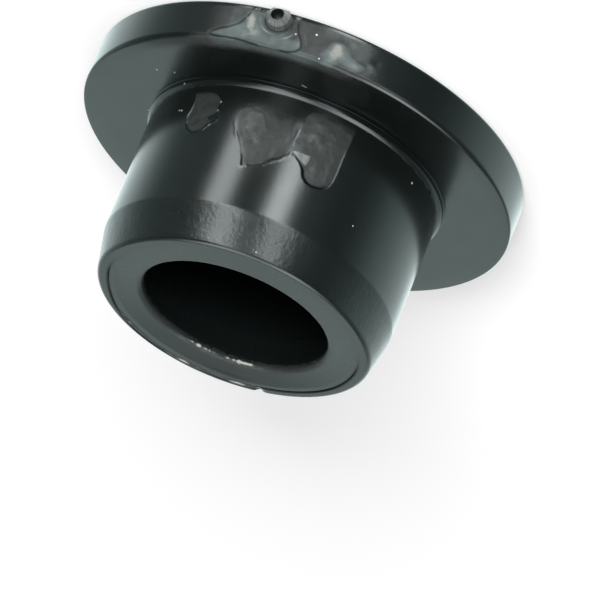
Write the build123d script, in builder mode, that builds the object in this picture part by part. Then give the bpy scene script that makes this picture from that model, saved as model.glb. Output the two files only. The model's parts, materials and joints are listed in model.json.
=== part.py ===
# Stopper: a hollow plug with a broad flange, moulded in one piece.
#
# Frame, in millimetres: the flat outer face of the flange lies on z = 0 and the
# barrel rises along +Z, round the Z axis. The gate, where the plastic was fed in,
# points along -Y. The bore opens upwards, at the free end of the barrel.

import os
from math import cos, radians, sin

from build123d import *

os.makedirs("parts", exist_ok=True)

# Flange
flange_diameter = 30.0
flange_thickness = 2.9
face_edge_chamfer = 0.25
rim_edge_radius = 0.4

# Barrel, measured from the underside of the flange to the crest of its end lip
barrel_diameter = 20.2
barrel_length = 12.2
root_bead_width = 0.25
root_bead_height = 0.52
root_bead_radius = 0.22
lead_in_length = 2.8
end_diameter = 19.1
end_edge_radius = 0.4
lip_width = 0.75
lip_height = 0.05

# Bore: blind, because the head closes it
bore_diameter = 13.0
head_thickness = 2.9
bore_mouth_chamfer = 0.15

# Gate: a hollow stub, torn off at a slant, in a tear-shaped recess of the rim
gate_height = 0.65
stub_diameter = 1.7
stub_proud = 0.35
stub_hole_diameter = 0.95
stub_hole_depth = 0.9
recess_depth = 0.28
recess_gap = 0.25
recess_bend = 0.7
recess_tail = 4.4
recess_head = 2.2

# Flow marks: shallow tongues below the flange, where the melt folded over itself
mark_depth = 0.1

# Each tongue: its turn from the gate in degrees, and the points of its outline,
# across from its middle and up from the foot of the barrel
FLOW_MARKS = [
    (25.5, [(-1.3, 1.9), (-0.9, 2.9), (-0.2, 3.6), (0.6, 3.6), (1.2, 2.6), (1.3, 0.6), (-1.0, 1.0)]),
    (-3.0, [(-1.7, 3.2), (-1.2, 4.8), (0.6, 5.8), (1.1, 4.9), (2.2, 2.2), (1.2, 1.3), (-1.3, 1.6)]),
    (-24.5, [(-1.7, 4.3), (-0.6, 5.5), (0.4, 5.2), (0.9, 4.3), (1.7, 3.8), (1.6, 0.9), (-1.5, 0.6)]),
]

flange_radius = flange_diameter / 2
barrel_radius = barrel_diameter / 2
end_radius = end_diameter / 2
stub_radius = stub_diameter / 2
total_height = flange_thickness + barrel_length
end_face_height = total_height - lip_height
lip_inner_radius = end_radius - lip_width
bead_radius = barrel_radius + root_bead_width
barrel_foot = flange_thickness + root_bead_height


# ---- Gate recess: a skin of the rim that is cut away
recess_floor = Plane(
    origin=(0, recess_depth - flange_radius, 0),
    x_dir=(1, 0, 0),
    z_dir=(0, -1, 0),
)
recess_root = recess_floor.offset(-3 * recess_depth)
recess_crown = flange_thickness - rim_edge_radius / 2
recess_mouth = stub_radius + recess_gap

with BuildPart() as gate_recess:
    with BuildSketch(recess_root):
        with BuildLine():
            Spline(
                (recess_tail, recess_crown),
                (0.5 * recess_tail, 0.5 * recess_crown),
                (recess_mouth, -recess_depth),
            )
            Line((recess_mouth, -recess_depth), (-recess_mouth, -recess_depth))
            Spline(
                (-recess_mouth, -recess_depth),
                (-recess_head, 0.65 * recess_crown),
                (-0.6 * recess_head, recess_crown),
            )
            Line((-0.6 * recess_head, recess_crown), (recess_tail, recess_crown))
        make_face()
    extrude(amount=flange_radius)

    # The floor is flat as far as the stub, and then bends as the rim does until it runs out
    with BuildSketch(Plane.XY.offset(-flange_thickness)):
        with Locations((recess_bend, recess_depth)):
            Circle(flange_radius)
        with Locations((recess_bend, 0)):
            Rectangle(2 * flange_radius, flange_radius - recess_depth, align=(Align.MAX, Align.MAX))
    extrude(amount=total_height, mode=Mode.SUBTRACT)


# ---- Gate stub: it is rooted in the rim, and ends at the flat outer face
tear = Plane(
    origin=(0, -flange_radius - stub_proud, gate_height + stub_radius),
    x_dir=(1, 0, 0),
    z_dir=(0, -stub_diameter, -stub_proud),
)

with BuildPart() as gate_stub:
    with BuildSketch(recess_root):
        with Locations((0, gate_height)):
            Circle(stub_radius)
    extrude(amount=flange_radius)
    split(bisect_by=tear, keep=Keep.BOTTOM)
    split(bisect_by=Plane.XY, keep=Keep.TOP)


# ---- Flow marks: skins of the barrel that are cut away
with BuildPart() as flow_marks:
    for turn, outline in FLOW_MARKS:
        outwards = (sin(radians(turn)), -cos(radians(turn)), 0)
        around = (cos(radians(turn)), sin(radians(turn)), 0)
        with BuildSketch(Plane(origin=(0, 0, barrel_foot), x_dir=around, z_dir=outwards)):
            with BuildLine():
                Spline(outline, periodic=True)
            make_face()
        extrude(amount=flange_radius)
    with BuildSketch():
        Circle(barrel_radius - mark_depth)
    extrude(amount=total_height, mode=Mode.SUBTRACT)


# ---- Stopper
with BuildPart() as stopper:
    # Half of the section, from the axis out to the rim and up to the end lip
    with BuildSketch(Plane.XZ):
        with BuildLine():
            Polyline(
                (0, 0),
                (flange_radius, 0),
                (flange_radius, flange_thickness),
                (bead_radius, flange_thickness),
                (bead_radius, barrel_foot),
                (barrel_radius, barrel_foot),
                (barrel_radius, total_height - lead_in_length),
                (end_radius, total_height),
                (lip_inner_radius, total_height),
                (lip_inner_radius - lip_height, end_face_height),
                (0, end_face_height),
                close=True,
            )
        make_face()
    revolve(axis=Axis.Z)

    rings = stopper.edges().filter_by(GeomType.CIRCLE)
    face_edge = rings.group_by(Axis.Z)[0].sort_by(SortBy.RADIUS)[-1]
    rim_edge = rings.group_by(Axis.Z)[1].sort_by(SortBy.RADIUS)[-1]
    bead_edge = rings.group_by(Axis.Z)[2].sort_by(SortBy.RADIUS)[-1]
    end_edge = rings.group_by(Axis.Z)[-1].sort_by(SortBy.RADIUS)[-1]
    chamfer(face_edge, length=face_edge_chamfer)
    fillet(rim_edge, radius=rim_edge_radius)
    fillet(bead_edge, radius=root_bead_radius)
    fillet(end_edge, radius=end_edge_radius)

    # Blind bore with a chamfered mouth
    with Locations((0, 0, end_face_height)):
        Hole(radius=bore_diameter / 2, depth=end_face_height - head_thickness)
    chamfer(stopper.edges(Select.LAST).group_by(Axis.Z)[-1], length=bore_mouth_chamfer)

    add(flow_marks.part, mode=Mode.SUBTRACT)

    # Gate on the rim: the recess, the stub in it and the hole in the stub
    add(gate_recess.part, mode=Mode.SUBTRACT)
    add(gate_stub.part)
    with BuildSketch(recess_floor.offset(recess_depth + stub_proud)):
        with Locations((0, gate_height)):
            Circle(stub_hole_diameter / 2)
    extrude(amount=-stub_proud - stub_hole_depth, mode=Mode.SUBTRACT)

stopper.part.label = "stopper"
export_step(stopper.part, "parts/stopper.step")
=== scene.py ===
"""Looks of the moulded stopper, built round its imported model. Lengths are in metres."""

import json
from math import atan2, ceil, cos, degrees, hypot, pi, radians, sin, tan

import bmesh
import bpy
import numpy as np
from mathutils import Matrix, Vector, noise


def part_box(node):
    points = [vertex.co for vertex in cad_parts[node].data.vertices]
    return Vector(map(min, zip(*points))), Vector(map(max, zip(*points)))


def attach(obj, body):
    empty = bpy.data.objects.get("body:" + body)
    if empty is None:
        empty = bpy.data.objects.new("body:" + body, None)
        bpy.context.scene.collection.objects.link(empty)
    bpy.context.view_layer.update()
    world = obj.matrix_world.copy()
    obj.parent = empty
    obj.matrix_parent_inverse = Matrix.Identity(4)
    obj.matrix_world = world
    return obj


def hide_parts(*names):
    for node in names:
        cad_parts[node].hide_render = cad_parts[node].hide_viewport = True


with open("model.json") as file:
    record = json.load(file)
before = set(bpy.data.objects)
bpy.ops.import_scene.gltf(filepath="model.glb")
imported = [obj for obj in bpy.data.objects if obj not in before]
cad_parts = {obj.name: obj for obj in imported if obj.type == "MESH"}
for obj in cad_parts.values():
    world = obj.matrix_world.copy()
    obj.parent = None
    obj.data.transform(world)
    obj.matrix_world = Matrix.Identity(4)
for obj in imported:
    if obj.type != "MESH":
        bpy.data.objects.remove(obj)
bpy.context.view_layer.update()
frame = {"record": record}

MM = 0.001


def mount(name):
    """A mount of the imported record"""
    return next(m for m in frame["record"]["mounts"] if m["name"] == name)


# ---- Driving sizes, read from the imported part

body_low, body_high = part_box("stopper")
flange_radius = body_high.x
lip_top = body_high.z
stub_reach = -body_low.y
flange_top = mount("flange_seat")["pos_m"][2]
barrel_radius = mount("spigot")["dims"]["r_mm"] * MM
bore_radius = mount("bore")["dims"]["r_mm"] * MM

# ---- Sizes of the moulded form

face_edge_round = 0.25 * MM
rim_edge_round = 0.32 * MM
bead_width = 0.27 * MM
bead_height = 0.56 * MM
bead_shelf = 0.04 * MM
bead_drop = 0.19 * MM
bead_round = 0.10 * MM
bore_floor_round = 0.2 * MM
mouth_depth = 1.0 * MM
mouth_round = 0.30 * MM
end_flat = 8.4 * MM
end_edge_round = 0.30 * MM
end_radius = 9.55 * MM
end_dish = 0.08 * MM
dish_width = 1.9 * MM
near_inset = 0.25 * MM
lead_in_length = 2.8 * MM
taper_round = 0.6 * MM
lip_height = 0.05 * MM
lip_start = 8.8 * MM
lip_radius = 9.0 * MM
lip_groove = 0.03 * MM
flash_radius = 8.98 * MM
flash_size = 0.10 * MM
notch_turn = -176.6  # degrees from the gate
notch_depth = 0.18 * MM
burr_reach = 0.16 * MM
burr_rise = 0.06 * MM
end_face = lip_top - lip_height
end_zone = end_face - 0.9 * MM
head_thickness = flange_top
taper_start = lip_top - lead_in_length
barrel_end = taper_start - 0.1 * MM
bead_top = flange_top + bead_height

# The middle of the worn side of the open end, in degrees from the gate
near_side = -18.0

# How much shade is painted into the bore and into the corner at the bead's foot
bore_shade = 0.6
corner_shade = 0.7

# ---- Mesh density, and how far off a surface a point may be and still count as on it

turn_steps = 288
long_row = 0.26 * MM
hidden_row = 1.6 * MM
fine_row = 0.06 * MM
hold_row = 0.06 * MM
fine_depth = 1.2 * MM
fine_mouth = 7.1 * MM
curve_steps = 8
merge_gap = 0.002 * MM
wall_slack = 0.02 * MM
face_slack = 0.01 * MM
float_slack = 1e-7


# ---- Small helpers

def turn_of(co):
    """The turn of a point round the axis, from the gate at -Y towards +X"""
    return atan2(co.x, -co.y)


def smooth(low, high, value):
    """Smooth step from 0 at low to 1 at high"""
    t = np.clip((value - low) / (high - low), 0.0, 1.0)
    return t * t * (3.0 - 2.0 * t)


def hump(middle, half_width, value):
    """A soft hump, 1 at its middle"""
    return np.exp(-((value - middle) / half_width) ** 2)


def turn_hump(middle, half_width, turn):
    """A soft hump round the axis; its middle and half width are in degrees from the gate"""
    off = np.degrees(turn) - middle
    return np.exp(-(((off + 180.0) % 360.0 - 180.0) / half_width) ** 2)


def turn_humps(places, turn):
    """Soft humps round the axis, each given by its middle and half width in degrees and its size"""
    return sum(size * turn_hump(middle, half_width, turn) for middle, half_width, size in places)


def off_near_side(turn):
    """How far a turn is from the middle of the near side, in degrees either way"""
    return np.abs((np.degrees(turn) - near_side + 180.0) % 360.0 - 180.0)


def ragged(across, along, scale, seed):
    """Noise between about -1 and 1 over a wall; the scale is in steps per millimetre"""
    k = scale / MM
    return np.array([noise.noise((a * k, b * k, seed)) for a, b in zip(across, along)])


def closed_curve(points):
    """A smooth closed curve through given points; further columns are carried along"""
    b = np.array(points, float)
    a, c, d = np.roll(b, 1, 0), np.roll(b, -1, 0), np.roll(b, -2, 0)
    spans = []
    for t in np.linspace(0.0, 1.0, curve_steps, endpoint=False):
        spans.append(0.5 * (2 * b + (c - a) * t + (2 * a - 5 * b + 4 * c - d) * t**2
                            + (3 * b - a - 3 * c + d) * t**3))
    return np.stack(spans, 1).reshape(-1, b.shape[1])


def curve_on_wall(points, radius):
    """A closed curve on a round wall in metres, from degrees off the gate and millimetres of height"""
    curve = closed_curve(points)
    curve[:, 0] = np.radians(curve[:, 0]) * radius
    curve[:, 1] *= MM
    return curve


def depth_inside(curve, across, along):
    """How far each point lies inside a closed curve, negative outside, and the curve's nearest columns"""
    p = np.stack([across, along], -1)
    nearest = np.full(len(p), np.inf)
    inside = np.zeros(len(p), bool)
    carried = np.zeros((len(p), curve.shape[1] - 2))
    for a, b in zip(curve, np.roll(curve, -1, 0)):
        start, edge = a[:2], (b - a)[:2]
        t = np.clip(((p - start) @ edge) / max(edge @ edge, 1e-18), 0.0, 1.0)
        away = np.hypot(*(p - start - t[:, None] * edge).T)
        closer = away < nearest
        nearest[closer] = away[closer]
        carried[closer] = (a[2:] + t[closer, None] * (b - a)[2:])
        if a[1] != b[1]:
            crosses = (a[1] > p[:, 1]) != (b[1] > p[:, 1])
            meet = a[0] + (p[:, 1] - a[1]) / (b[1] - a[1]) * edge[0]
            inside ^= crosses & (p[:, 0] < meet)
    return np.where(inside, nearest, -nearest), carried


# ---- The moulded form, spun from its half section

def add_holds(edge):
    """Puts a holding vertex close to each end of a long edge, so that flats stay flat when shaded"""
    start, end = edge.verts
    length = edge.calc_length()
    _, held = bmesh.utils.edge_split(edge, start, hold_row / length)
    rest = next(e for e in held.link_edges if end in e.verts)
    bmesh.utils.edge_split(rest, end, hold_row / (length - hold_row))


def row_length(middle):
    """The longest edge that the half section may have at a place"""
    radius, height = -middle.y, middle.z
    near_end = height > end_face - fine_depth
    in_bore = radius < bore_radius + 0.1 * MM and height < end_face - fine_depth
    if in_bore or height < face_slack:
        return hidden_row
    if near_end and (radius > end_flat or radius < fine_mouth):
        return fine_row
    return long_row


def half_section(bm):
    """The half section from the bore's floor, over the open end and the flange, to the outer face"""
    corners = [  # radius, height, rounding, steps of the rounding
        (0.0, head_thickness, 0.0, 0),
        (bore_radius, head_thickness, bore_floor_round, 2),
        (bore_radius, end_face - mouth_depth, 0.0, 0),
        (bore_radius, end_face, mouth_round, 8),
        (end_flat, end_face, 0.0, 0),
        (end_radius, end_face, end_edge_round, 12),
        (barrel_radius, taper_start, taper_round, 3),
        (barrel_radius, bead_top, 0.0, 0),
        (barrel_radius + bead_shelf, bead_top, bead_round, 3),
        (barrel_radius + bead_width, bead_top - bead_drop, bead_round, 3),
        (barrel_radius + bead_width, flange_top, 0.0, 0),
        (flange_radius, flange_top, rim_edge_round, 10),
        (flange_radius, 0.0, face_edge_round, 6),
        (0.0, 0.0, 0.0, 0),
    ]
    verts = [bm.verts.new((0.0, -r, z)) for r, z, _, _ in corners]
    for a, b in zip(verts, verts[1:]):
        bm.edges.new((a, b))
    turns = []
    for before, here, after in zip(verts, verts[1:], verts[2:]):
        turns.append((here.co - before.co).angle(after.co - here.co))
    for vert, turn, (_, _, rounding, steps) in zip(verts[1:-1], turns, corners[1:-1]):
        if rounding > 0.0:
            bmesh.ops.bevel(bm, geom=[vert], offset=rounding * tan(turn / 2), offset_type="OFFSET",
                            affect="VERTICES", segments=steps, profile=0.5, material=-1)
    for edge in [e for e in bm.edges if e.calc_length() > 4 * hold_row]:
        add_holds(edge)
    for edge in list(bm.edges):
        middle = (edge.verts[0].co + edge.verts[1].co) / 2
        cuts = ceil(edge.calc_length() / row_length(middle)) - 1
        if cuts > 0:
            bmesh.ops.subdivide_edges(bm, edges=[edge], cuts=cuts)


def spun_form():
    """The plain turned form of the stopper"""
    bm = bmesh.new()
    half_section(bm)
    bmesh.ops.spin(bm, geom=bm.verts[:] + bm.edges[:], cent=(0, 0, 0), axis=(0, 0, 1), angle=2 * pi,
                   steps=turn_steps, use_merge=True)
    bmesh.ops.remove_doubles(bm, verts=bm.verts, dist=merge_gap)
    bmesh.ops.recalc_face_normals(bm, faces=bm.faces)
    return bm


def refine(bm, low_turn, high_turn, low_radius, low_height, high_height, cuts):
    """Divides the faces of one window of the outer wall, given by its turns in degrees and its heights"""
    edges = {}
    for face in bm.faces:
        middle = face.calc_center_median()
        wall = middle.xy.length > low_radius and low_height < middle.z < high_height
        if wall and low_turn < degrees(turn_of(middle)) < high_turn:
            edges.update(dict.fromkeys(face.edges))
    bmesh.ops.subdivide_edges(bm, edges=list(edges), cuts=cuts, use_grid_fill=True)


# ---- Places and tones of the form's points

class Points:
    """The turn, radius and height of every vertex, as arrays, with its two tones

    Dull goes from 0, glossy, over 1, dull, and 2, a chalky haze that is partly painted sheen, to 3, a pale
    painted highlight. The second tone is painted shade, from 0 to 1, black.
    """

    def __init__(self, bm):
        self.verts = list(bm.verts)
        co = np.array([v.co for v in self.verts])
        self.turn = np.arctan2(co[:, 0], -co[:, 1])
        self.radius = np.hypot(co[:, 0], co[:, 1])
        self.height = co[:, 2]
        self.dull = np.zeros(len(co))
        self.crease = np.zeros(len(co))

    def on_wall(self, radius, low, high):
        """Which points lie on the cylinder of that radius, between two heights"""
        near = np.abs(self.radius - radius) < wall_slack
        return near & (self.height > low - float_slack) & (self.height < high + float_slack)

    def dull_and_highlight_to(self, chosen, level):
        """Makes the chosen points at least this dull; past 1 this lays a chalky haze that is partly painted
        sheen, and towards 3 a pale painted highlight
        """
        self.dull[chosen] = np.maximum(self.dull[chosen], level)

    def paint_shade_to(self, chosen, level):
        """Paints at least this much shade on the chosen points"""
        self.crease[chosen] = np.maximum(self.crease[chosen], level)

    def write(self, dull_and_highlight_layer, painted_shade_layer):
        """Puts the changed points back into the mesh"""
        x = self.radius * np.sin(self.turn)
        y = -self.radius * np.cos(self.turn)
        places = zip(x, y, self.height)
        for vert, place, dull, crease in zip(self.verts, places, self.dull, self.crease):
            vert.co = place
            vert[dull_and_highlight_layer] = dull
            vert[painted_shade_layer] = crease


def snap_to_form(points):
    """Puts points that were added on flat facets back on the round walls and roundings"""
    barrel = points.on_wall(barrel_radius, bead_top, barrel_end)
    points.radius[barrel] = barrel_radius
    rim = points.on_wall(flange_radius, face_edge_round, flange_top - rim_edge_round)
    points.radius[rim] = flange_radius
    upper_edge = (flange_top - rim_edge_round, rim_edge_round)
    lower_edge = (face_edge_round, face_edge_round)
    for middle, rounding in (upper_edge, lower_edge):
        out = points.radius - (flange_radius - rounding)
        up = points.height - middle
        beyond = up > 0 if middle > face_edge_round else up < 0
        reach = np.hypot(out, up)
        chosen = beyond & (out > 0) & (np.abs(reach - rounding) < wall_slack)
        back = rounding / np.maximum(reach, 1e-9) - 1
        points.radius[chosen] += (out * back)[chosen]
        points.height[chosen] += (up * back)[chosen]


def sharpen_rim(points):
    """Away from the gate, the rounding of the flange's upper edge gets tighter"""
    slack = 0.005 * MM
    low, near = flange_top - rim_edge_round, flange_radius - rim_edge_round
    edge = (points.radius > near - slack) & (points.height > low - slack)
    edge &= points.height < flange_top + slack
    up = np.maximum(points.height[edge] - low, 0.0)
    out = np.maximum(points.radius[edge] - near, 0.0)
    angle = np.arctan2(up, out)
    off_gate = np.abs(np.degrees(points.turn[edge]) + 8.0)
    tight = rim_edge_round * (1.0 - 0.6 * smooth(45.0, 75.0, off_gate))
    points.radius[edge] = flange_radius - tight * (1.0 - np.cos(angle))
    points.height[edge] = flange_top - tight * (1.0 - np.sin(angle))


def paint_corner_shade(points):
    """Paints shade into the corner between the flange and the bead, on the side where the flange is dark too
    """
    away = np.hypot(points.radius - barrel_radius - bead_width, points.height - flange_top)
    side = 1.0 - smooth(38.0, 58.0, np.abs(np.degrees(points.turn) - near_side))
    dark = corner_shade * side * (1.0 - smooth(0.06 * MM, 0.16 * MM, away))
    points.crease = np.maximum(points.crease, dark)


def paint_bore_shade(points):
    """Paints shade on the bore's wall and floor, so that they are darker than the outside"""
    deep = (points.radius < bore_radius + 0.05 * MM) & (points.height < end_face - 0.6 * MM)
    deep &= points.height > flange_top - 0.1 * MM
    points.paint_shade_to(deep, bore_shade)


# ---- The open end: dished, drawn in on its near side, with an uneven lip, flash and a knit notch behind

# Ridges of flash on the lip and burrs on the bore's edge: middle and half width in degrees, and size
FLASH = [(-185.0, 4.5, 1.6), (149.0, 8.0, 1.3), (120.0, 14.0, 0.5)]
BURRS = [(150.0, 9.0, 1.3), (-184.0, 9.0, 1.6), (-85.0, 5.0, 0.5)]


def dish_end(points):
    """Sinks the flat of the end towards the bore, least on the near side"""
    flat = (points.height > end_face - 0.5 * MM) & (points.radius < end_flat + 0.05 * MM)
    sunk = end_dish * (1.0 - np.cos(points.turn[flat] - radians(near_side)))
    inward = np.clip((end_flat - points.radius[flat]) / dish_width, 0.0, 1.0)
    points.height[flat] -= sunk * inward


def draw_in_near_side(points):
    """Draws the lead-in further in towards the end, on the near side"""
    taper = (points.height > taper_start) & (points.radius > end_flat)
    up = np.clip((points.height[taper] - taper_start) / (lead_in_length - end_edge_round), 0.0, 1.0)
    inset = near_inset * (1.0 - smooth(50.0, 95.0, off_near_side(points.turn[taper])))
    points.radius[taper] -= inset * up * smooth(end_flat, 9.1 * MM, points.radius[taper])


def raise_lip(points):
    """Raises the lip behind, sets ridges of flash on it with painted highlights on their crests, paints shade
    along its groove, and cuts the knit notch
    """
    wall = (points.height > end_zone) & (points.radius > 8.0 * MM)
    turn, r = points.turn[wall], points.radius[wall]
    round_lip = turn * lip_radius
    uneven = ragged(round_lip, np.zeros(len(turn)), 0.25, 11.0)
    beads = ragged(round_lip, r, 1.6, 12.0)

    behind = (np.degrees(turn) - near_side) % 360.0
    start = lip_start + 0.36 * MM * smooth(105.0, 145.0, behind) * (behind < 200.0) + uneven * 0.06 * MM
    reach = smooth(72.0, 98.0, off_near_side(turn))
    proud = lip_height * 0.4 * smooth(start, start + 0.16 * MM, r)
    groove = lip_groove * hump(start - 0.02 * MM, 0.06 * MM, r)
    lift = (proud - groove) * reach

    flash = turn_humps(FLASH, turn)
    middle = flash_radius + flash_size * turn_hump(141.0, 9.0, turn)
    ridge = flash_size * flash * hump(middle, flash_size, r) * (0.8 + 0.9 * beads)
    notch = notch_depth * turn_hump(notch_turn, 1.3, turn) * smooth(8.7 * MM, 9.25 * MM, r)
    share = smooth(end_zone, end_face - 0.25 * MM, points.height[wall])
    points.height[wall] += (np.minimum(lift + ridge, lip_height) - notch) * share
    points.radius[wall] -= notch * 0.6 * smooth(lip_radius, 9.5 * MM, r)
    # Painted highlight: the crests of the flash are laid pale
    crest = flash * hump(middle - 0.05 * MM, 0.12 * MM, r) * (0.75 + 1.2 * beads)
    points.dull_and_highlight_to(wall, np.clip(3.6 * crest - 0.3, 0.0, 3.0))

    # Painted shade along the groove at the start of the lip, and a darker patch on the end face near the knit
    fold = 1.1 * hump(start - 0.02 * MM, 0.12 * MM, r) * reach * (1.0 + 0.3 * uneven)
    fold *= 1.0 - np.clip(flash, 0.0, 1.0) * (1.0 - smooth(middle + 0.2 * MM, middle + 0.28 * MM, r))
    fold = np.maximum(fold, 0.35 * turn_hump(168.0, 13.0, turn) * (1.0 - smooth(8.6 * MM, 8.9 * MM, r)))
    points.paint_shade_to(wall, np.clip(fold, 0.0, 1.0))


def rough_mouth(points):
    """Roughs the edge of the bore's mouth and sets burrs on it, with painted highlights laid pale on them"""
    mouth = (points.height > end_zone) & (points.radius < 7.0 * MM)
    turn, height = points.turn[mouth], points.height[mouth]
    round_bore = turn * bore_radius
    rough = ragged(round_bore, height, 3.0, 21.0) + 0.6 * ragged(round_bore, height, 8.0, 23.0)
    beads = np.clip(0.60 + 1.1 * ragged(round_bore, np.zeros(len(turn)), 3.4, 25.0), 0.0, 1.5)
    near_edge = 1.0 - smooth(6.6 * MM, 6.95 * MM, points.radius[mouth])
    near_edge *= smooth(end_face - 0.8 * MM, end_face - 0.5 * MM, height)
    points.radius[mouth] -= rough * 0.010 * MM * near_edge
    burr = turn_humps(BURRS, turn) * beads * hump(end_face - 0.31 * MM, 0.10 * MM, height)
    points.radius[mouth] -= burr_reach * burr
    points.height[mouth] += np.minimum(burr_rise * burr, lip_height)
    points.dull_and_highlight_to(mouth, 0.8 * near_edge)
    # Painted highlight on the burrs
    points.dull_and_highlight_to(mouth, np.clip(5.5 * burr - 0.5, 0.0, 3.0))


# ---- Flow marks: sunk tongues below the flange, where the melt folded over itself

def tongue(outline, floor, wall, shown, sunk, haze, level=None):
    """One sunk tongue

    Its outline goes by degrees from the gate and millimetres of height, and carries two more columns, in
    hundredths of a millimetre: how deep the fold along its edge is and how high the ridge outside it is.
    Its dullness and its depth fade in over two ranges of height, and past the level turns it is hardly sunk.
    """
    curve = curve_on_wall(outline, barrel_radius)
    curve[:, 2:] = np.maximum(curve[:, 2:], 0.0) * 0.01 * MM
    return dict(curve=curve, floor=floor * MM, wall=wall * MM, shown=shown, sunk=sunk, haze=haze, level=level)


TONGUES = [
    # the wide one
    tongue([(-33.6, 7.5, 4, 0), (-32.9, 8.25, 9, 0), (-31.1, 8.72, 13, 0), (-27.5, 8.96, 15, 0),
            (-24.2, 8.88, 16, 0), (-22.0, 8.58, 17, 0), (-20.6, 8.08, 14, 0), (-18.9, 7.75, 8, 0),
            (-16.8, 7.5, 6, 0), (-15.0, 7.38, 4, 0), (-14.4, 6.8, 0, 0), (-14.6, 6.0, 0, 2),
            (-14.8, 5.2, 0, 0), (-14.9, 4.5, 0, 0), (-16.5, 3.95, 0, 0), (-21.5, 3.7, 0, 0),
            (-28.0, 3.5, 0, 0), (-34.2, 3.7, 0, 0), (-34.0, 5.0, 0, 0), (-33.6, 6.0, 3, 0)],
           floor=0.035, wall=0.11, shown=(3.5, 4.6), sunk=(4.6, 6.2), haze=1.0, level=(-20, -16)),
    # the middle one
    tongue([(-14.6, 7.2, 0, 1), (-12.0, 7.9, 0, 1), (-8.8, 8.3, 0, 2), (-6.6, 8.65, 0, 2),
            (-3.8, 8.98, 0, 3), (-1.0, 9.12, 1, 4), (1.0, 9.2, 5, 2), (1.9, 8.75, 4, 1),
            (3.2, 8.25, 3, 0), (5.0, 7.6, 5, 0), (7.4, 6.95, 7, 1), (9.2, 6.25, 6, 1),
            (9.9, 5.4, 0, 0), (8.6, 4.6, 0, 0), (4.5, 4.2, 0, 0), (0.0, 4.2, 0, 0),
            (-6.0, 4.3, 0, 0), (-13.0, 4.8, 0, 0), (-15.0, 6.0, 0, 2)],
           floor=0.012, wall=0.26, shown=(4.0, 6.4), sunk=(5.6, 7.4), haze=0.75),
    # the narrow one
    tongue([(18.6, 4.72, 0, 2), (19.2, 5.05, 0, 0), (18.9, 5.45, 0, 1), (20.0, 5.8, 4, 0),
            (21.6, 6.0, 7, 0), (20.3, 6.12, 7, 0), (18.6, 6.2, 2, 2), (20.6, 6.45, 0, 5),
            (22.3, 6.82, 0, 5), (24.2, 7.06, 0, 5), (26.2, 7.16, 1, 5), (28.4, 7.06, 4, 2),
            (30.6, 6.7, 3, 0), (32.2, 6.2, 0, 1), (32.5, 5.6, 0, 2), (32.0, 5.0, 0, 0),
            (32.4, 4.4, 0, 0), (33.0, 4.0, 0, 0), (30.0, 3.88, 0, 0), (26.0, 3.9, 0, 0),
            (22.6, 4.1, 0, 0), (20.2, 4.4, 0, 0)],
           floor=0.065, wall=0.13, shown=(3.8, 4.3), sunk=(4.0, 5.0), haze=0.9),
]

# A glossy scrap left inside the wide tongue
SCRAP = curve_on_wall([(-21.4, 7.8), (-22.3, 7.35), (-22.1, 6.95), (-19.0, 6.98), (-15.4, 7.02),
                       (-15.2, 7.25), (-16.8, 7.38), (-19.2, 7.62)], barrel_radius)


def sink_tongues(points):
    """Sinks each tongue into the barrel, with its fold and ridge, paints shade along its folded edge, and
    dulls and mottles its floor
    """
    wall = points.on_wall(barrel_radius, bead_top, barrel_end)
    wall &= (np.abs(points.turn) < radians(38)) & (points.height < 10.0 * MM)
    across = points.turn[wall] * barrel_radius
    along = points.height[wall]
    wander = ragged(across, along, 2.5, 3.0) * 0.035 * MM + ragged(across, along, 7.0, 4.0) * 0.015 * MM
    mottle = ragged(across, along, 1.5, 8.0) + 0.5 * ragged(across, along, 3.6, 9.0)
    degree = np.degrees(points.turn[wall])
    depth = np.zeros(len(across))
    dull = np.zeros(len(across))
    crease = np.zeros(len(across))
    for mark in TONGUES:
        inside, edge = depth_inside(mark["curve"], across, along)
        step = mark["wall"]
        inside = inside + wander * (0.5 + step / (0.2 * MM))
        within = smooth(0.0, step, inside)
        shown = smooth(*mark["shown"], along / MM)
        sunk = smooth(*mark["sunk"], along / MM)
        fold = np.clip(edge[:, 0] / (0.15 * MM), 0.0, 1.0)
        level = 1.0
        if mark["level"]:
            level = 1.0 - 0.8 * smooth(*mark["level"], degree)
        drop = mark["floor"] * level * within
        drop += 0.03 * MM * fold * hump(0.05 * MM, 0.07 * MM, inside)
        drop -= edge[:, 1] * hump(-0.08 * MM, 0.10 * MM, inside)
        depth += drop * sunk
        dull = np.maximum(dull, mark["haze"] * within * shown)
        # Painted shade along the folded edge
        line = hump(0.05 * MM, (0.04 + 0.06 * fold) * MM, inside)
        crease = np.maximum(crease, 1.15 * fold * line * sunk)
    scrap, _ = depth_inside(SCRAP, across, along)
    dull *= 1.0 - smooth(0.0, 0.08 * MM, scrap + wander)
    depth += dull * mottle * 0.022 * MM
    points.radius[wall] -= depth
    points.dull_and_highlight_to(wall, np.clip(dull * (1.0 + 0.5 * mottle), 0.0, 1.0))
    points.paint_shade_to(wall, np.clip(crease, 0.0, 1.0))


# ---- Gate: a hollow stub, torn off at a slant, in a tear-shaped recess of the rim

gate_height = 0.66 * MM
recess_depth = 0.15 * MM
flow_depth = 0.05 * MM
dish_radius = 1.32 * MM
stub_radius = 0.86 * MM
stub_hole_radius = 0.40 * MM
stub_hole_depth = 0.9 * MM
hole_aside = 0.13 * MM
hole_below = 0.18 * MM
torn_depth = 0.05 * MM
torn_slant = 0.06 * MM
stub_front = stub_reach - torn_depth
# Painted light: the stub's wall is laid pale for where it is lit
stub_lit_tone = 2.2
hole_tone = 0.6

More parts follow.
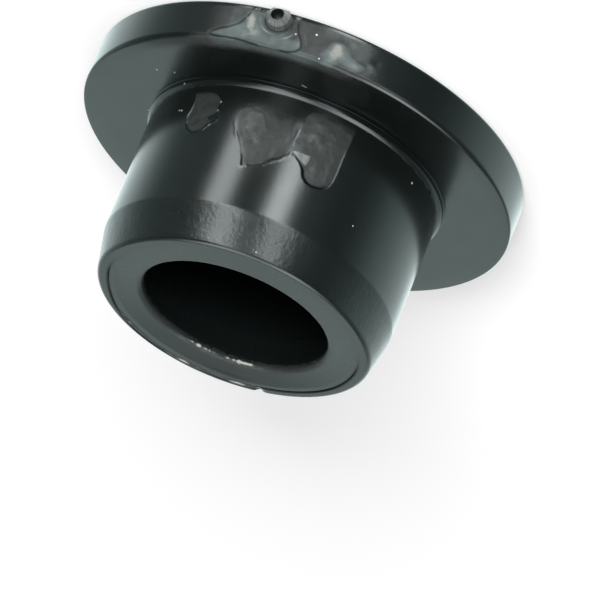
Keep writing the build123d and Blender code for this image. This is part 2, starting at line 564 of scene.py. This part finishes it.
RECESS = curve_on_wall([(16.7, 2.55), (15.0, 2.2), (12.0, 1.9), (9.6, 1.55), (8.0, 0.9), (7.2, 0.2),
                        (7.0, -0.5), (-5.0, -0.5), (-5.2, 0.3), (-6.0, 1.1), (-7.6, 1.8), (-8.2, 2.3),
                        (-7.3, 2.68), (-4.5, 2.84), (0.0, 2.9), (5.0, 2.82), (10.0, 2.74), (14.5, 2.72)],
                       flange_radius)


def recess_drop(across, along, inside, from_gate):
    """How deep the recess is: a shallow tear with a thin edge, and a dish with two rings round the stub"""
    drop = flow_depth * smooth(0.0, 0.16 * MM, inside)
    drop += 0.030 * MM * hump(0.03 * MM, 0.05 * MM, inside)
    drop -= 0.008 * MM * hump(-0.07 * MM, 0.06 * MM, inside)
    dish = 1.0 - smooth(stub_radius, dish_radius, from_gate)
    drop += (recess_depth - flow_depth) * dish
    drop += 0.035 * MM * hump(stub_radius + 0.05 * MM, 0.05 * MM, from_gate)
    drop += 0.020 * MM * hump(1.28 * MM, 0.07 * MM, from_gate) * smooth(-0.8 * MM, 0.6 * MM, across)
    drop -= 0.014 * MM * hump(1.52 * MM, 0.10 * MM, from_gate) * smooth(0.0, 0.2 * MM, inside)
    drop += ragged(across, along, 1.4, 33.0) * 0.008 * MM * smooth(0.0, 0.3 * MM, inside)
    return drop


def smear_drop(across, along, degree, rise):
    """How deep the two smears of melt beside the recess are"""
    smear = 0.030 * MM * hump(-19.5, 2.0, degree + (rise - 1.5) * 1.4) * smooth(0.5, 1.2, rise)
    smear += 0.022 * MM * hump(-25.5, 2.0, degree - (rise - 1.8) * 3.0) * smooth(0.8, 1.6, rise)
    return smear * (1.0 + ragged(across, along, 1.6, 35.0))


def painted_highlight_patches(across, along, degree, rise, inside, from_gate):
    """Painted highlights, laid as a pale tone: arcs round the stub, by their bearing from it, and patches on
    the smears
    """
    bearing = np.degrees(np.arctan2(along - gate_height, across))
    white = hump(1.85 * MM, 0.48 * MM, from_gate) * hump(28.0, 42.0, bearing)
    white += 0.8 * hump(0.0, 0.14, rise - 2.62 + 0.12 * (9.0 - degree)) * hump(7.6, 1.6, degree)
    white += 0.8 * hump(1.20 * MM, 0.12 * MM, from_gate) * hump(70.0, 85.0, bearing)
    white += 0.7 * hump(1.58 * MM, 0.14 * MM, from_gate) * hump(120.0, 45.0, bearing)
    white += 0.40 * hump(-0.27 * MM, 0.20 * MM, inside) * smooth(0.4, 0.9, rise) * (degree < -4.0)
    white += 0.7 * hump(-16.8, 3.0, degree - (rise - 1.4) * 1.2) * smooth(0.7, 1.3, rise)
    white += 0.65 * hump(-22.0, 5.0, degree + (rise - 2.1) * 3.0) * hump(2.05, 0.6, rise)
    streaks = ragged(across, along, 1.5, 39.0) + 0.3 * ragged(across, along, 5.0, 40.0)
    return np.clip(white * (1.0 + 0.5 * streaks), 0.0, 1.0)


def gate_haze_and_highlights(across, along, degree, rise, inside, from_gate):
    """How dull the rim is in the recess and beside it, with a chalky haze that is partly painted sheen and
    pale painted highlights
    """
    within = smooth(0.0, 0.2 * MM, inside)
    cloud = ragged(across, along, 0.8, 37.0) + 0.4 * ragged(across, along, 2.4, 38.0)
    beside = smooth(-28.0, -18.0, degree) * (1.0 - smooth(-5.0, -2.0, degree)) * (0.95 + 0.25 * cloud)
    beside = np.maximum(beside, (1.3 + 0.6 * cloud) * hump(8.5, 7.0, degree))
    shade = hump(-5.0, 1.6, degree) * (1.0 - smooth(1.7, 2.1, rise))
    haze = np.maximum(within * (1.75 + 0.5 * cloud) * (1.0 - 0.6 * shade), beside)
    white = painted_highlight_patches(across, along, degree, rise, inside, from_gate)
    haze = np.maximum(haze, smooth(0.0, 0.7, white) + 1.4 * white) * smooth(0.3, 0.5, rise)
    return np.clip(haze, 0.0, 2.5)


def sink_recess(points):
    """Sinks the recess and the smears into the rim, with their haze, and paints shade in a line round the
    recess and the stub's foot
    """
    wall = points.radius > flange_radius - rim_edge_round - face_slack
    wall &= (points.height > wall_slack) & (points.height < flange_top + face_slack)
    wall &= np.abs(points.turn) < radians(32)
    across, along = points.turn[wall] * flange_radius, points.height[wall]
    degree, rise = np.degrees(points.turn[wall]), along / MM
    inside, _ = depth_inside(RECESS, across, along)
    inside = inside + ragged(across, along, 2.0, 31.0) * 0.03 * MM
    from_gate = np.hypot(across, along - gate_height)
    drop = recess_drop(across, along, inside, from_gate)
    points.radius[wall] -= drop + smear_drop(across, along, degree, rise)
    points.dull_and_highlight_to(wall, gate_haze_and_highlights(across, along, degree, rise, inside, from_gate))
    # Painted shade along the recess's edge and round the stub's foot
    outline = 0.85 * hump(0.03 * MM, 0.055 * MM, inside) * smooth(0.4, 0.8, rise)
    foot = 0.75 * hump(stub_radius + 0.05 * MM, 0.06 * MM, from_gate)
    foot *= smooth(-0.5 * MM, 0.5 * MM, along - gate_height)
    points.paint_shade_to(wall, np.maximum(outline, foot))


def slope_edge(points):
    """Lets the flange's upper face sink a little towards its edge, more so by the gate, where it is hazy and
    its chalky tone is partly painted sheen
    """
    top = (points.height > flange_top - rim_edge_round) & (points.height < flange_top + face_slack)
    top &= points.radius > 12.6 * MM
    turn, r = points.turn[top], points.radius[top]
    degree = np.degrees(turn)
    near = smooth(-70.0, -30.0, degree) * (1.0 - smooth(26.0, 46.0, degree))
    gate = smooth(-28.0, -10.0, degree) * (1.0 - smooth(12.0, 26.0, degree))
    flat = smooth(flange_top - rim_edge_round, flange_top - 0.5 * rim_edge_round, points.height[top])
    points.height[top] -= smooth(13.7 * MM, 15.2 * MM, r) * (0.02 + 0.08 * near) * MM * flat
    cloud = 1.0 + 0.4 * ragged(turn * flange_radius, r, 0.7, 41.0)
    points.dull_and_highlight_to(top, 1.75 * gate * smooth(13.5 * MM, 14.5 * MM, r) * cloud)


def stub_angle(co):
    """The direction of a point across the gate, from +X towards +Z"""
    return atan2(co.z - gate_height, co.x)


def foot_radius(angle):
    """The stub's radius in a direction across the gate: round, but cut flat along the flange's outer face"""
    down = max(-sin(angle), 1e-6)
    return min(stub_radius, (gate_height - 0.03 * MM) / down)


def cut_foot(bm):
    """Cuts the stub's foot out of the recess floor, and gives the cut's edges"""
    doomed = []
    for face in bm.faces:
        middle = face.calc_center_median()
        away = hypot(middle.x, middle.z - gate_height)
        on_rim = middle.y < -flange_radius + recess_depth + 0.4 * MM and middle.z > wall_slack
        if on_rim and away < foot_radius(stub_angle(middle)):
            doomed.append(face)
    bmesh.ops.delete(bm, geom=doomed, context="FACES")
    cut = [e for e in bm.edges if e.is_boundary]
    for v in {v for e in cut for v in e.verts}:
        angle = stub_angle(v.co)
        v.co.x = 1.03 * foot_radius(angle) * cos(angle)
        v.co.z = gate_height + 1.03 * foot_radius(angle) * sin(angle)
    return cut


def raise_stub(bm, dull_and_highlight_layer):
    """Draws the stub's wall, torn lip and hole out of the recess, ring by ring, with painted light laid on
    the wall as a pale tone
    """
    floor = -flange_radius + recess_depth
    hole_floor = -stub_front + stub_hole_depth
    rings = [  # radius as a share of the foot's, the way to the hole's edge, and the way out to the torn lip
        (0.98, 0.0, 0.05), (0.965, 0.0, 0.25), (0.96, 0.0, 0.5), (0.95, 0.0, 0.75), (0.93, 0.0, 0.92),
        (0.90, 0.12, 1.0), (0.90, 0.5, 1.04), (0.90, 0.85, 1.0),
        (0.90, 1.0, 0.95), (0.90, 1.04, 0.8), (0.90, 1.1, 0.4), (0.90, 1.15, 0.0),
    ]
    current = cut_foot(bm)
    directions = {v: stub_angle(v.co) for e in current for v in e.verts}
    for share, mixed, way in rings:
        made = bmesh.ops.extrude_edge_only(bm, edges=current)
        fresh = {g for g in made["geom"] if isinstance(g, bmesh.types.BMVert)}
        in_hole = mixed > 0.9
        for v in fresh:
            before = next(e.other_vert(v) for e in v.link_edges if e.other_vert(v) not in fresh)
            angle = directions[v] = directions[before]
            heading = Vector((cos(angle), 0.0, sin(angle)))
            outer = heading * foot_radius(angle) * share
            hole = heading * stub_hole_radius + Vector((hole_aside, 0.0, -hole_below))
            place = outer.lerp(hole, mixed)
            torn = noise.noise((cos(angle) * 1.6, sin(angle) * 1.6, 5.0 + share)) * torn_depth
            slant = torn_slant * (1.0 - smooth(0.0, 1.4 * MM, gate_height + place.z))
            lip = -stub_front + slant - torn
            base = hole_floor if in_hole else floor
            v.co = (place.x, base + (lip - base) * min(way, 1.0), gate_height + place.z)
            v[dull_and_highlight_layer] = hole_tone if in_hole else stub_lit_tone
        current = [g for g in made["geom"] if isinstance(g, bmesh.types.BMEdge) and set(g.verts) <= fresh]
    bmesh.ops.contextual_create(bm, geom=current)


# ---- Materials

def blank_tree(owner):
    """The emptied node tree of a material or world"""
    owner.use_nodes = True
    owner.node_tree.nodes.clear()
    return owner.node_tree


def node(tree, kind, inputs=(), **settings):
    """Adds a node with its settings; each input is a value or another node's output"""
    made = tree.nodes.new(kind)
    for name, value in settings.items():
        setattr(made, name, value)
    for key, value in dict(inputs).items():
        if isinstance(value, bpy.types.NodeSocket):
            tree.links.new(value, made.inputs[key])
        else:
            made.inputs[key].default_value = value
    return made


def maths(tree, operation, *values, clamp=False):
    """One Math node's result"""
    inputs = dict(enumerate(values))
    return node(tree, "ShaderNodeMath", inputs, operation=operation, use_clamp=clamp).outputs[0]


def mix(tree, factor, under, over):
    """One colour laid over another"""
    inputs = {"Factor": factor, 6: under, 7: over}
    return node(tree, "ShaderNodeMix", inputs, data_type="RGBA").outputs[2]


def ramp(tree, value, low, high, kind="LINEAR"):
    """How far a value has gone from low to high, from 0 to 1"""
    inputs = {"Value": value, "From Min": low, "From Max": high}
    return node(tree, "ShaderNodeMapRange", inputs, interpolation_type=kind).outputs[0]


def speckles(tree, place, scale, detail, roughness):
    """Noise from 0 to 1, with its scale in steps per metre"""
    inputs = {"Vector": place, "Scale": scale, "Detail": detail, "Roughness": roughness}
    return node(tree, "ShaderNodeTexNoise", inputs).outputs["Fac"]


# Specks of dust and nicks: degrees from the gate, height, distance from the axis and size, in millimetres
SPECKS = [
    (-10.6, 1.05, 15.0, 0.09), (-5.6, 1.44, 14.95, 0.07), (-13.4, 2.65, 15.0, 0.08), (40.1, 3.2, 10.35, 0.07),
    (37.1, 5.27, 10.1, 0.08), (38.6, 5.2, 10.1, 0.06), (-47.4, 9.89, 10.1, 0.06), (-16.6, 14.64, 9.45, 0.08),
    (-10.0, 2.9, 11.15, 0.07), (-10.6, 2.9, 11.11, 0.07), (-11.2, 2.9, 11.07, 0.06), (46.1, 2.9, 12.05, 0.09),
    (18.9, 5.42, 10.05, 0.09), (19.1, 4.72, 10.05, 0.07), (40.9, 2.9, 11.3, 0.08), (75.6, 2.9, 10.4, 0.10),
    (-58.5, 3.5, 10.25, 0.08), (-66.0, 4.3, 10.1, 0.09),
]

gloss_black = (0.004, 0.0055, 0.005, 1.0)
dull_black = (0.018, 0.0205, 0.020, 1.0)
# The chalky grey is partly a hazy finish and partly painted sheen
haze_and_sheen_grey = (0.070, 0.090, 0.088, 1.0)
# Painted highlight: the pale tone of glints on crests, burrs, the stub and the gate
painted_highlight_pale = (0.40, 0.39, 0.35, 1.0)
# Painted shade: the black laid in creases, grooves, corners and the bore
painted_shade_black = (0.003, 0.004, 0.004, 1.0)
dust_grey = (0.42, 0.45, 0.44, 1.0)
cool_gleam = (0.81, 1.0, 0.995, 1.0)
gloss_roughness = 0.21
dull_roughness = 0.48
taper_added = 0.07
patches_added = -0.45
clouds_added = 0.10
gloss_shine = 0.5
dull_shine = 0.31
patches_shine = 0.5
barrel_relief = 0.16
taper_relief = 0.66
relief_height = 0.02 * MM


def dust_on(tree, place):
    """How much dust covers each place: all of it on a speck, and none between them"""
    dust = 0.0
    for turn, height, out, size in SPECKS:
        spot = (out * MM * sin(radians(turn)), -out * MM * cos(radians(turn)), height * MM)
        away = node(tree, "ShaderNodeVectorMath", {0: place, 1: spot}, operation="DISTANCE").outputs["Value"]
        dust = maths(tree, "MAXIMUM", dust, ramp(tree, away, size * MM, 0.6 * size * MM, "SMOOTHSTEP"))
    return dust


def gloss_plastic():
    """Near-black moulded plastic: glossy, dull on the marks where the melt folded and on the taper, with a
    fine mould grain, painted shade in its creases, corners and bore, and painted highlights laid as pale
    tones
    """
    material = bpy.data.materials.new("gloss_black_plastic")
    tree = blank_tree(material)
    place = node(tree, "ShaderNodeTexCoord").outputs["Object"]
    rise = node(tree, "ShaderNodeSeparateXYZ", {0: place}).outputs[2]
    flow = node(tree, "ShaderNodeAttribute", attribute_name="flow").outputs["Fac"]
    crease = node(tree, "ShaderNodeAttribute", attribute_name="crease").outputs["Fac"]
    dull = maths(tree, "MINIMUM", flow, 1.0)
    haze_and_sheen = maths(tree, "SUBTRACT", flow, 1.0, clamp=True)
    pale = maths(tree, "SUBTRACT", flow, 2.0, clamp=True)
    taper = ramp(tree, rise, barrel_end, taper_start + 0.2 * MM)
    taper_side = maths(tree, "MULTIPLY", taper, ramp(tree, rise, end_face - 0.12 * MM, end_face - 0.35 * MM))
    grain = speckles(tree, place, scale=4200.0, detail=3.0, roughness=0.6)
    cloud = speckles(tree, place, scale=420.0, detail=4.0, roughness=0.6)
    blotch = speckles(tree, place, scale=1100.0, detail=3.0, roughness=0.65)
    patchy = maths(tree, "MULTIPLY", maths(tree, "SUBTRACT", blotch, 0.5), dull)

    tone = mix(tree, flow, gloss_black, dull_black)
    tone = mix(tree, haze_and_sheen, tone, haze_and_sheen_grey)
    tone = mix(tree, pale, tone, painted_highlight_pale)
    tone = mix(tree, crease, tone, painted_shade_black)
    tone = mix(tree, dust_on(tree, place), tone, dust_grey)

    rough = maths(tree, "MULTIPLY_ADD", dull, dull_roughness - gloss_roughness, gloss_roughness)
    rough = maths(tree, "MULTIPLY_ADD", taper, taper_added, rough)
    rough = maths(tree, "MULTIPLY_ADD", patchy, patches_added, rough)
    rough = maths(tree, "MULTIPLY_ADD", maths(tree, "SUBTRACT", cloud, 0.5), clouds_added, rough)

    shine = maths(tree, "MULTIPLY_ADD", dull, dull_shine - gloss_shine, gloss_shine)
    shine = maths(tree, "MULTIPLY_ADD", patchy, patches_shine, shine)
    shine = maths(tree, "MULTIPLY", shine, maths(tree, "SUBTRACT", 1.0, crease))

    strength = maths(tree, "MULTIPLY_ADD", taper_side, taper_relief - barrel_relief, barrel_relief)
    relief = maths(tree, "MULTIPLY_ADD", blotch, maths(tree, "MULTIPLY", taper_side, 2.0), grain)
    bump = node(tree, "ShaderNodeBump", {"Strength": strength, "Distance": relief_height, "Height": relief})
    surface = node(tree, "ShaderNodeBsdfPrincipled", {
        "Base Color": tone, "Roughness": rough, "IOR": 1.5, "Specular IOR Level": shine,
        "Specular Tint": cool_gleam, "Normal": bump.outputs["Normal"]})
    node(tree, "ShaderNodeOutputMaterial", {"Surface": surface.outputs[0]})
    return material


# ---- The finished piece

def placed(name, data):
    """An object of this data in the scene, at the origin"""
    made = bpy.data.objects.new(name, data)
    bpy.context.scene.collection.objects.link(made)
    return made


def placed_mesh(name, bm, material):
    """An object of this bmesh in the scene, with its material"""
    mesh = bpy.data.meshes.new(name)
    bm.to_mesh(mesh)
    bm.free()
    mesh.materials.append(material)
    return placed(name, mesh)


def stopper_piece():
    """The moulded stopper with its flow marks and gate"""
    bm = spun_form()
    bm.verts.layers.float.new("flow")
    bm.verts.layers.float.new("crease")
    dull_and_highlight_layer = bm.verts.layers.float["flow"]
    painted_shade_layer = bm.verts.layers.float["crease"]
    refine(bm, -37, 36, barrel_radius - 0.05 * MM, bead_top, 9.8 * MM, 3)
    refine(bm, -30, 20, flange_radius - rim_edge_round, 0.0, flange_top + 0.1 * MM, 2)
    refine(bm, -8, 8, flange_radius - rim_edge_round, 0.0, 2.6 * MM, 1)
    points = Points(bm)
    snap_to_form(points)
    sharpen_rim(points)
    paint_corner_shade(points)
    dish_end(points)
    draw_in_near_side(points)
    raise_lip(points)
    rough_mouth(points)
    paint_bore_shade(points)
    sink_tongues(points)
    slope_edge(points)
    sink_recess(points)
    points.write(dull_and_highlight_layer, painted_shade_layer)
    raise_stub(bm, dull_and_highlight_layer)
    bmesh.ops.recalc_face_normals(bm, faces=bm.faces)
    for face in bm.faces:
        face.smooth = True
    return placed_mesh("moulded_stopper", bm, gloss_plastic())


stopper = stopper_piece()
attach(stopper, "root")
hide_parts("stopper")


# ---- Floor, light and camera

view_turn = radians(-17.86)
view_rise = radians(26.35)
view_roll = radians(-157.85)
view_distance = 800.4 * MM
view_lens = 724.96
view_aim = (-3.606, 4.78, 9.61)  # millimetres, before the turn

key_turn = view_turn + radians(8.0)
key_rise = radians(18.0)
key_distance = 0.6

floor_width = 8.0
floor_gap = 0.01 * MM
floor_white = (0.9, 0.9, 0.9, 1.0)
floor_glow = 0.27
matt_light = (0.6, 0.6, 0.6, 1.0)
plain_white = (1.0, 1.0, 1.0, 1.0)


def floor_material():
    """A white floor that stays white in front of the camera but keeps the part's soft shadow"""
    material = bpy.data.materials.new("white_floor")
    tree = blank_tree(material)
    path = node(tree, "ShaderNodeLightPath")
    mirrored = maths(tree, "MAXIMUM", path.outputs["Is Glossy Ray"], path.outputs["Is Transmission Ray"])
    seen = maths(tree, "MAXIMUM", path.outputs["Is Camera Ray"], mirrored)
    matt = node(tree, "ShaderNodeBsdfDiffuse", {"Color": floor_white})
    strength = maths(tree, "MULTIPLY", seen, floor_glow)
    glow = node(tree, "ShaderNodeEmission", {"Color": plain_white, "Strength": strength})
    both = node(tree, "ShaderNodeAddShader", {0: matt.outputs[0], 1: glow.outputs[0]})
    node(tree, "ShaderNodeOutputMaterial", {"Surface": both.outputs[0]})
    return material


def lay_floor():
    """A wide plain floor under the part"""
    bm = bmesh.new()
    bmesh.ops.create_grid(bm, x_segments=1, y_segments=1, size=floor_width / 2)
    bmesh.ops.translate(bm, verts=bm.verts, vec=(0, 0, -floor_gap))
    floor = placed_mesh("floor", bm, floor_material())
    floor.visible_glossy = False


# Light levels of the studio's walls by degrees of turn from the camera's side towards its left, by degrees
# of rise, and down each of the two upright soft boxes
WALLS = [(-180, 2.0), (-160, 1.9), (-145, 1.45), (-115, 1.4), (-90, 1.05), (-72, 0.46), (-58, 0.17),
         (-42, 0.13), (-28, 0.3), (-12, 0.15), (58, 0.14), (76, 0.34), (98, 0.40), (112, 0.72), (130, 1.5),
         (158, 1.9), (180, 2.0)]
RISES = [(-90, 0.5), (-60, 1.0), (-15, 1.0), (8, 0.8), (19, 0.42), (25, 0.72), (28, 0.66), (32, 0.24),
         (38, 0.16), (50, 0.13), (90, 0.1)]
MIDDLE_BOX = [(-90, 0.0), (-55, 0.1), (-40, 0.7), (-26, 1.0), (-5, 0.75), (12, 0.6), (30, 0.2), (45, 0.0),
              (90, 0.0)]
LEFT_BOX = [(-90, 0.0), (-55, 0.1), (-40, 0.7), (-26, 1.0), (-5, 1.25), (14, 1.2), (30, 0.5), (45, 0.0),
            (90, 0.0)]
brightest = 4.0
wall_tint = (0.86, 1.0, 0.99)
box_tint = (1.12, 1.0, 1.0)


def studio_world():
    """White to the camera, even to matt surfaces, and a studio of soft boxes to glossy ones"""
    world = bpy.data.worlds.new("studio")
    bpy.context.scene.world = world
    tree = blank_tree(world)
    world.cycles.sampling_method = "NONE"
    way = node(tree, "ShaderNodeTexCoord").outputs["Generated"]
    turned = node(tree, "ShaderNodeVectorRotate", {"Vector": way, "Angle": -view_turn},
                  rotation_type="Z_AXIS")
    x, y, z = node(tree, "ShaderNodeSeparateXYZ", {0: turned.outputs[0]}).outputs
    turn = maths(tree, "MULTIPLY", maths(tree, "ARCTAN2", x, maths(tree, "MULTIPLY", y, -1.0)), 180 / pi)
    rise = maths(tree, "MULTIPLY", maths(tree, "ARCSINE", z), 180 / pi)

    def fade(value, low, high):
        return ramp(tree, value, low, high, "SMOOTHSTEP")

    def levels(value, stops):
        low, high = stops[0][0], stops[-1][0]
        made = node(tree, "ShaderNodeValToRGB", {"Fac": ramp(tree, value, low, high)})
        ramp_stops = made.color_ramp.elements
        for place, _ in stops[1:-1]:
            ramp_stops.new((place - low) / (high - low))
        for stop, (place, level) in zip(ramp_stops, stops):
            stop.position = (place - low) / (high - low)
            stop.color = (level / brightest, level / brightest, level / brightest, 1.0)
        return maths(tree, "MULTIPLY", made.outputs["Color"], brightest)

    def strip(middle, lean, half_width, feather, strength):
        shift = maths(tree, "MULTIPLY_ADD", maths(tree, "ADD", rise, 26.0), lean, middle)
        off = maths(tree, "ABSOLUTE", maths(tree, "SUBTRACT", turn, shift))
        return maths(tree, "MULTIPLY", fade(off, half_width + feather, half_width - feather), strength)

    def tinted(tint, amount):
        return node(tree, "ShaderNodeVectorMath", {0: tint, "Scale": amount}, operation="SCALE").outputs[0]

    walls = maths(tree, "MULTIPLY", levels(turn, WALLS), levels(rise, RISES))
    across = maths(tree, "ABSOLUTE", x)
    overhead = maths(tree, "MULTIPLY", fade(across, 0.58, 0.34), 6.0)
    gap = maths(tree, "MULTIPLY_ADD", fade(across, 0.16, 0.04), -0.65, 1.0)
    overhead = maths(tree, "MULTIPLY", overhead, gap)
    overhead = maths(tree, "MULTIPLY", overhead, fade(y, -0.75, -0.25))
    overhead = maths(tree, "MULTIPLY", overhead, fade(maths(tree, "MULTIPLY_ADD", across, 1.2, y), 0.85, 0.5))
    overhead = maths(tree, "MULTIPLY", overhead, fade(z, 0.0, 0.3))
    middle_box = strip(middle=0.0, lean=-0.18, half_width=8.0, feather=4.0, strength=11.5)
    middle_box = maths(tree, "MULTIPLY", middle_box, levels(rise, MIDDLE_BOX))
    left_box = strip(middle=46.0, lean=-0.38, half_width=9.0, feather=4.0, strength=7.5)
    left_box = maths(tree, "MULTIPLY", left_box, levels(rise, LEFT_BOX))
    boxes = maths(tree, "ADD", maths(tree, "ADD", middle_box, left_box), overhead)
    shown = {0: tinted(wall_tint, walls), 1: tinted(box_tint, boxes)}
    glossy = node(tree, "ShaderNodeVectorMath", shown, operation="ADD").outputs[0]

    path = node(tree, "ShaderNodeLightPath")
    shone = mix(tree, path.outputs["Is Glossy Ray"], matt_light, glossy)
    shone = mix(tree, path.outputs["Is Camera Ray"], shone, plain_white)
    background = node(tree, "ShaderNodeBackground", {"Color": shone, "Strength": 1.0})
    node(tree, "ShaderNodeOutputWorld", {"Surface": background.outputs[0]})


def key_light():
    """One large soft box on the camera's side, which lays the soft shadow behind the part"""
    lamp = bpy.data.lights.new("key", "AREA")
    lamp.shape = "ELLIPSE"
    lamp.size = 0.32
    lamp.size_y = 0.17
    lamp.energy = 4.2
    key = placed("key", lamp)
    back = Vector((sin(key_turn) * cos(key_rise), -cos(key_turn) * cos(key_rise), sin(key_rise)))
    key.location = back * key_distance
    key.rotation_euler = (-back).to_track_quat("-Z", "Y").to_euler()
    key.visible_glossy = False


def set_camera():
    """The camera: a long lens, low over the open end, rolled so that the flange is uppermost"""
    lens = bpy.data.cameras.new("camera")
    lens.sensor_width = 36.0
    lens.lens = view_lens
    lens.clip_start = 0.01
    lens.clip_end = 20.0
    camera = placed("camera", lens)
    about_axis = Matrix.Rotation(view_turn, 3, "Z")
    aim = about_axis @ Vector(view_aim) * MM
    back = about_axis @ Vector((0.0, -cos(view_rise), sin(view_rise)))
    camera.location = aim + back * view_distance
    level = (-back).to_track_quat("-Z", "Y").to_matrix()
    camera.rotation_euler = (level @ Matrix.Rotation(view_roll, 3, "Z")).to_euler()
    bpy.context.scene.camera = camera


lay_floor()
studio_world()
key_light()
set_camera()
bpy.context.scene.view_settings.view_transform = "Standard"
